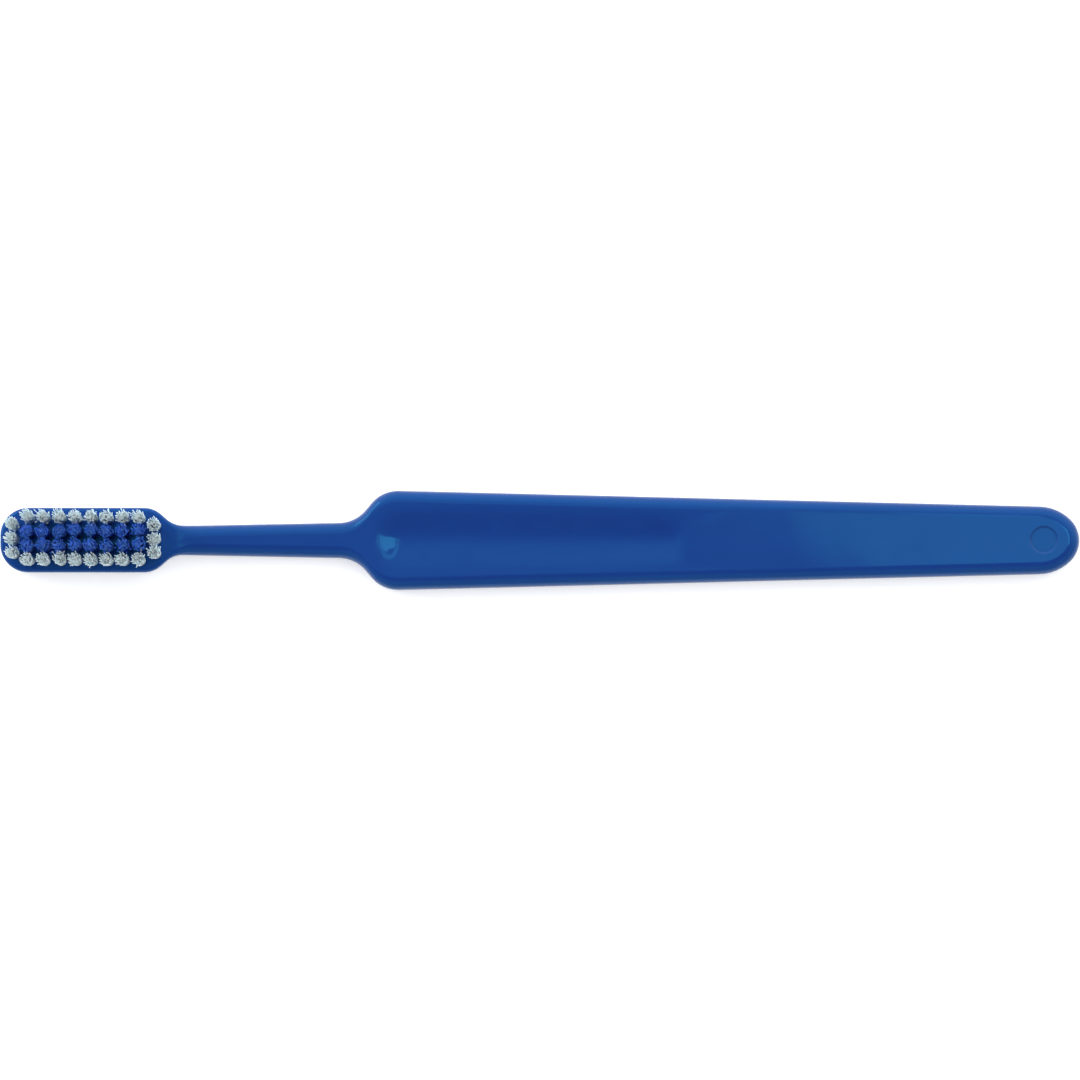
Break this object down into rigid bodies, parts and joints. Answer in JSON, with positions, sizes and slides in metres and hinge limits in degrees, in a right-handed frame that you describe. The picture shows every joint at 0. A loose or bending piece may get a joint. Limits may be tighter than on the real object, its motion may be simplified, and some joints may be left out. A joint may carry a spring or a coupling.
{
  "type": "manual toothbrush",
  "caption": "Manual toothbrush with a flat tapered paddle handle, slim neck and rounded head; white nylon tufts frame blue ones for cleaning teeth by hand.",
  "frame": {"origin": "on the flat back of the handle, halfway along the brush and in the middle of its width", "axes": "+X along the brush from the tip of the head to the round end of the handle, +Y across it to the right of a head seen tip up, +Z out of the bristle side"},
  "size_m": [0.19, 0.0176, 0.0159],
  "materials": {
    "blue_moulded_plastic": "injection moulded, glossy royal blue",
    "white_nylon_filament": "drawn nylon filament, off-white, end-rounded",
    "blue_nylon_filament": "drawn nylon filament, dyed royal blue, end-rounded",
    "anchor_flat_wire": "rolled and sheared flat wire"
  },
  "bodies": {
    "root": {"blue_tuft_left_1": "blue_nylon_filament", "blue_tuft_left_2": "blue_nylon_filament", "blue_tuft_left_3": "blue_nylon_filament", "blue_tuft_left_4": "blue_nylon_filament", "blue_tuft_left_5": "blue_nylon_filament", "blue_tuft_left_6": "blue_nylon_filament", "blue_tuft_left_7": "blue_nylon_filament", "blue_tuft_left_8": "blue_nylon_filament", "blue_tuft_right_1": "blue_nylon_filament", "blue_tuft_right_2": "blue_nylon_filament", "blue_tuft_right_3": "blue_nylon_filament", "blue_tuft_right_4": "blue_nylon_filament", "blue_tuft_right_5": "blue_nylon_filament", "blue_tuft_right_6": "blue_nylon_filament", "blue_tuft_right_7": "blue_nylon_filament", "blue_tuft_right_8": "blue_nylon_filament", "handle": "blue_moulded_plastic", "tuft_anchors": "anchor_flat_wire", "white_tuft_heel_1": "white_nylon_filament", "white_tuft_heel_2": "white_nylon_filament", "white_tuft_heel_3": "white_nylon_filament", "white_tuft_left_1": "white_nylon_filament", "white_tuft_left_2": "white_nylon_filament", "white_tuft_left_3": "white_nylon_filament", "white_tuft_left_4": "white_nylon_filament", "white_tuft_left_5": "white_nylon_filament", "white_tuft_left_6": "white_nylon_filament", "white_tuft_left_7": "white_nylon_filament", "white_tuft_left_8": "white_nylon_filament", "white_tuft_right_1": "white_nylon_filament", "white_tuft_right_2": "white_nylon_filament", "white_tuft_right_3": "white_nylon_filament", "white_tuft_right_4": "white_nylon_filament", "white_tuft_right_5": "white_nylon_filament", "white_tuft_right_6": "white_nylon_filament", "white_tuft_right_7": "white_nylon_filament", "white_tuft_right_8": "white_nylon_filament", "white_tuft_tip_1": "white_nylon_filament", "white_tuft_tip_2": "white_nylon_filament", "white_tuft_tip_3": "white_nylon_filament"}
  },
  "joints": []
}
